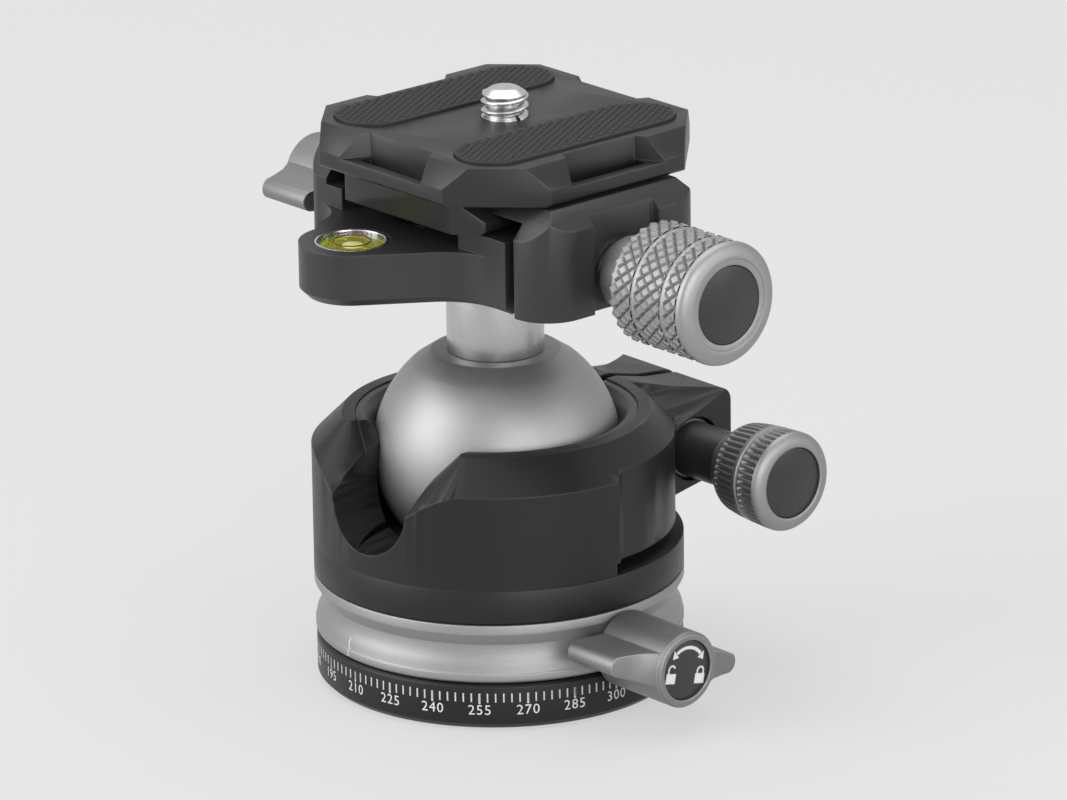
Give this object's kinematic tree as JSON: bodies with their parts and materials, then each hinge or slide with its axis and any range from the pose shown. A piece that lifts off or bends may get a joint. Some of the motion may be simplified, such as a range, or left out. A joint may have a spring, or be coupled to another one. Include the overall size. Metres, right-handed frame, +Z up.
{
  "type": "tripod ball head",
  "caption": "Panning tripod ball head with a drop notch, friction and pan locks, and a lever clamp holding a quick release plate with a camera screw.",
  "frame": {"origin": "centre of the underside of the base, on the tripod thread's axis", "axes": "+Z up, +X along the lock screws towards the knobs, +Y towards the clamping ears, drop notch on the -Y side"},
  "size_m": [0.0841, 0.0626, 0.0824],
  "materials": {
    "black_anodised": "black anodised aluminium",
    "grey_anodised": "blasted grey anodised aluminium",
    "ball_metal": "satin anodised ball",
    "bright_metal": "satin natural aluminium",
    "plain_steel": "turned stainless steel",
    "bright_steel": "bright stainless steel",
    "dark_steel": "blackened steel",
    "brass": "plain brass",
    "slip_plastic": "low friction plastic",
    "pad_rubber": "dimpled rubber",
    "level_liquid": "coloured level liquid",
    "clear_lens": "clear lens"
  },
  "bodies": {
    "base": {"scale_base": "black_anodised", "tripod_bush": "plain_steel", "pan_washer": "slip_plastic", "pan_retainer": "plain_steel", "retainer_screws": "dark_steel"},
    "housing": {"pan_collar": "grey_anodised", "collar_screws": "dark_steel", "housing_screws": "dark_steel", "brake_pad": "brass", "lower_housing": "black_anodised", "seat_spring": "plain_steel", "lower_seat": "slip_plastic", "ball_housing": "black_anodised", "upper_seat_ring": "black_anodised", "lock_insert": "brass"},
    "pan_lock": {"pan_lock_screw": "plain_steel", "pan_lever": "grey_anodised", "pan_lever_screw": "plain_steel", "pan_lever_cap": "black_anodised"},
    "main_lock": {"lock_screw": "plain_steel", "lock_washer": "plain_steel", "knob_neck": "black_anodised", "main_knob": "grey_anodised", "main_knob_screw": "plain_steel", "main_knob_cap": "black_anodised"},
    "ball": {"ball": "ball_metal"},
    "clamp": {"stem": "bright_metal", "stem_screws": "dark_steel", "clamp_base": "black_anodised", "level_cup": "bright_metal", "level_liquid": "level_liquid", "level_lens": "clear_lens", "guide_pins": "plain_steel", "cam_bush": "black_anodised"},
    "clamp_lever": {"clamp_lever": "grey_anodised", "clamp_lever_cap": "black_anodised"},
    "draw_rod": {"draw_rod": "plain_steel", "cross_pin": "dark_steel"},
    "jaw": {"clamp_jaw": "black_anodised", "jaw_washer": "plain_steel"},
    "clamp_knob": {"clamp_knob": "grey_anodised", "knob_nut": "brass", "clamp_knob_cap": "black_anodised"},
    "plate": {"release_plate": "black_anodised", "front_pad": "pad_rubber", "rear_pad": "pad_rubber", "screw_clip": "dark_steel"},
    "camera_screw": {"camera_screw": "bright_steel"}
  },
  "joints": [
    {"name": "pan_turn", "type": "hinge", "parent": "base", "child": "housing", "pos_m": [0, 0, 0.0094], "axis": [0, 0, 1], "continuous": true},
    {"name": "pan_lock_turn", "type": "hinge", "parent": "housing", "child": "pan_lock", "pos_m": [0, 0, 0.0094], "axis": [1, 0, 0], "range_deg": [0, 60]},
    {"name": "main_lock_turn", "type": "hinge", "parent": "housing", "child": "main_lock", "pos_m": [0, 0.0264, 0.0273], "axis": [1, 0, 0], "range_deg": [0, 270]},
    {"name": "ball_tilt", "type": "hinge", "parent": "housing", "child": "ball", "pos_m": [0, 0, 0.0312], "axis": [0.9984, 0.0558, 0], "range_deg": [-45, 90]},
    {"name": "head_turn", "type": "hinge", "parent": "ball", "child": "clamp", "pos_m": [0, 0, 0.0312], "axis": [0, 0, 1], "continuous": true},
    {"name": "clamp_lever_turn", "type": "hinge", "parent": "clamp", "child": "clamp_lever", "pos_m": [0, 0, 0.0621], "axis": [-1, 0, 0], "range_deg": [0, 90]},
    {"name": "draw_rod_slide", "type": "slide", "parent": "clamp", "child": "draw_rod", "axis": [1, 0, 0], "range_m": [0, 0.0008]},
    {"name": "jaw_slide", "type": "slide", "parent": "draw_rod", "child": "jaw", "axis": [1, 0, 0], "range_m": [0, 0.003]},
    {"name": "clamp_knob_turn", "type": "hinge", "parent": "jaw", "child": "clamp_knob", "pos_m": [0, 0, 0.0621], "axis": [1, 0, 0], "range_deg": [0, 1080]},
    {"name": "plate_slide", "type": "slide", "parent": "clamp", "child": "plate", "axis": [0, 1, 0], "range_m": [-0.02, 0.02]},
    {"name": "camera_screw_turn", "type": "hinge", "parent": "plate", "child": "camera_screw", "pos_m": [0.0013, 0.00115, 0.0778], "axis": [0, 0, 1], "continuous": true}
  ],
  "couplings": [
    {"joint": "clamp_lever_turn", "follows": "draw_rod_slide", "rad_per_m": 1963.5},
    {"joint": "clamp_knob_turn", "follows": "jaw_slide", "rad_per_m": 6283.2}
  ]
}
